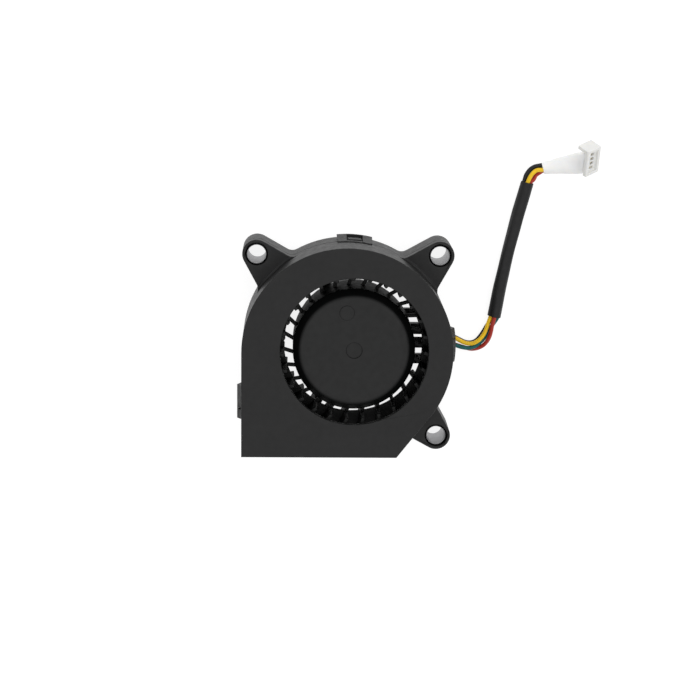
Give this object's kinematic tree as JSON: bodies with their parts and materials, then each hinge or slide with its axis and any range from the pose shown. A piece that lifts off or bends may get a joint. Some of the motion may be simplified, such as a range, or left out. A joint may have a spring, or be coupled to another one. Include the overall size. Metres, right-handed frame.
{
  "type": "centrifugal blower fan",
  "caption": "Compact centrifugal blower with a scroll housing, screw ears with steel sleeves, a spinning impeller on an external-rotor motor, and a short wire lead with a white connector.",
  "frame": {"origin": "on the rotor axis, in the plane of the housing's back face, where the motor base and its label lie", "axes": "+Z along the rotor axis from the back towards the inlet in the front cover; -Y out of the outlet; +X towards the side where the wires leave"},
  "size_m": [0.0857, 0.074, 0.02],
  "materials": {
    "label_film": "plain film, semi-gloss",
    "bearing_tube_brass": "turned",
    "wire_black": "extruded insulation, semi-gloss",
    "ear_sleeve_steel": "bright rolled steel",
    "capacitor_ceramic": "fired ceramic",
    "board_green": "solder mask",
    "boot_white": "soft moulded",
    "connector_white": "moulded, semi-gloss",
    "contact_brass": "tinned stamping",
    "chip_black": "moulded epoxy",
    "housing_plastic": "satin injection moulded, fine texture",
    "wire_green": "extruded insulation, semi-gloss",
    "sleeve_black": "heat-shrink tube, satin",
    "impeller_plastic": "satin injection moulded",
    "bearing_steel": "ground steel",
    "nylon": "natural nylon",
    "wire_red": "extruded insulation, semi-gloss",
    "magnet_rubber": "bonded ferrite, matte",
    "motor_iron": "pressed and laminated iron",
    "winding_copper": "enamelled copper wire, glossy",
    "wire_yellow": "extruded insulation, semi-gloss"
  },
  "bodies": {
    "housing": {"back_label": "label_film", "bearing_tube": "bearing_tube_brass", "black_inner_lead": "wire_black", "black_wire": "wire_black", "black_wire_end": "wire_black", "bottom_right_ear_sleeve": "ear_sleeve_steel", "capacitor": "capacitor_ceramic", "circuit_board": "board_green", "connector_boot": "boot_white", "connector_housing": "connector_white", "contact_1": "contact_brass", "contact_2": "contact_brass", "contact_3": "contact_brass", "contact_4": "contact_brass", "driver_chip": "chip_black", "frame_base": "housing_plastic", "front_cover": "housing_plastic", "green_inner_lead": "wire_green", "green_wire": "wire_green", "green_wire_end": "wire_green", "hall_sensor": "chip_black", "heat_shrink_sleeve": "sleeve_black", "lower_bearing": "bearing_steel", "lower_insulator": "nylon", "red_inner_lead": "wire_red", "red_wire": "wire_red", "red_wire_end": "wire_red", "stator_core": "motor_iron", "top_left_ear_sleeve": "ear_sleeve_steel", "top_right_ear_sleeve": "ear_sleeve_steel", "upper_bearing": "bearing_steel", "upper_insulator": "nylon", "winding_coil_1": "winding_copper", "winding_coil_2": "winding_copper", "winding_coil_3": "winding_copper", "winding_coil_4": "winding_copper", "yellow_inner_lead": "wire_yellow", "yellow_wire": "wire_yellow", "yellow_wire_end": "wire_yellow"},
    "rotor": {"impeller": "impeller_plastic", "rotor_yoke": "motor_iron", "rotor_magnet": "magnet_rubber", "rotor_shaft": "bearing_steel", "retaining_washer": "nylon"}
  },
  "joints": [
    {"name": "rotor_spin", "type": "hinge", "parent": "housing", "child": "rotor", "pos_m": [0, 0, 0.01], "axis": [0, 0, 1], "continuous": true}
  ]
}
